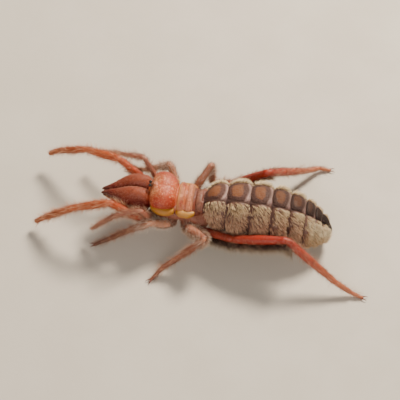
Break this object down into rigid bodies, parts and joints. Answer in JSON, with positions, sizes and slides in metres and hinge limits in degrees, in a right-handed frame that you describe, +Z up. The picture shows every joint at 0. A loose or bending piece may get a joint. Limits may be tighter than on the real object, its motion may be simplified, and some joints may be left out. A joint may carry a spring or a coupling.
{
  "type": "camel spider",
  "caption": "Life-size camel spider with swollen jaws, long feeler limbs, hairy legs and a ringed abdomen with bristly flanks, standing on the floor.",
  "frame": {"origin": "on the floor, under the middle of the whole outline", "axes": "+Z up, +X towards the tail and the head towards -X, -Y on the animal's left"},
  "size_m": [0.0662, 0.0328, 0.0126],
  "materials": {
    "abdomen_skin": "matt grey-brown skin with golden bristles on the flanks and dark brown plates on the back",
    "shield": "satin pinkish-orange shield under fine pale hair",
    "thorax_plate": "satin pink-brown plates with a yellow side edge",
    "lobe": "smooth translucent amber yellow",
    "eye": "glossy black",
    "jaw": "satin deep red-brown, darker to the tips",
    "finger": "glossy maroon black",
    "chest": "matt red-brown leg bases",
    "palp": "satin orange-red with fine pale hair",
    "leg": "satin reddish-brown with fine pale hair and paler feet"
  },
  "bodies": {
    "root": {"abdomen": "abdomen_skin", "propeltidium": "shield", "mesopeltidium": "thorax_plate", "metapeltidium": "thorax_plate", "eye_left": "eye", "lateral_lobe_left": "lobe", "chelicera_left": "jaw", "movable_finger_left": "finger", "coxae_left": "chest", "palp_left_femur": "palp", "palp_left_tibia": "palp", "palp_left_tarsus": "palp", "leg1_left_femur": "leg", "leg1_left_tibia": "leg", "leg1_left_tarsus": "leg", "leg2_left_femur": "leg", "leg2_left_tibia": "leg", "leg2_left_tarsus": "leg", "leg3_left_femur": "leg", "leg3_left_tibia": "leg", "leg3_left_tarsus": "leg", "leg4_left_trochanter": "leg", "leg4_left_femur": "leg", "leg4_left_tibia": "leg", "leg4_left_tarsus": "leg", "eye_right": "eye", "lateral_lobe_right": "lobe", "chelicera_right": "jaw", "movable_finger_right": "finger", "coxae_right": "chest", "palp_right_femur": "palp", "palp_right_tibia": "palp", "palp_right_tarsus": "palp", "leg1_right_femur": "leg", "leg1_right_tibia": "leg", "leg1_right_tarsus": "leg", "leg2_right_femur": "leg", "leg2_right_tibia": "leg", "leg2_right_tarsus": "leg", "leg3_right_femur": "leg", "leg3_right_tibia": "leg", "leg3_right_tarsus": "leg", "leg4_right_trochanter": "leg", "leg4_right_femur": "leg", "leg4_right_tibia": "leg", "leg4_right_tarsus": "leg"}
  },
  "joints": []
}
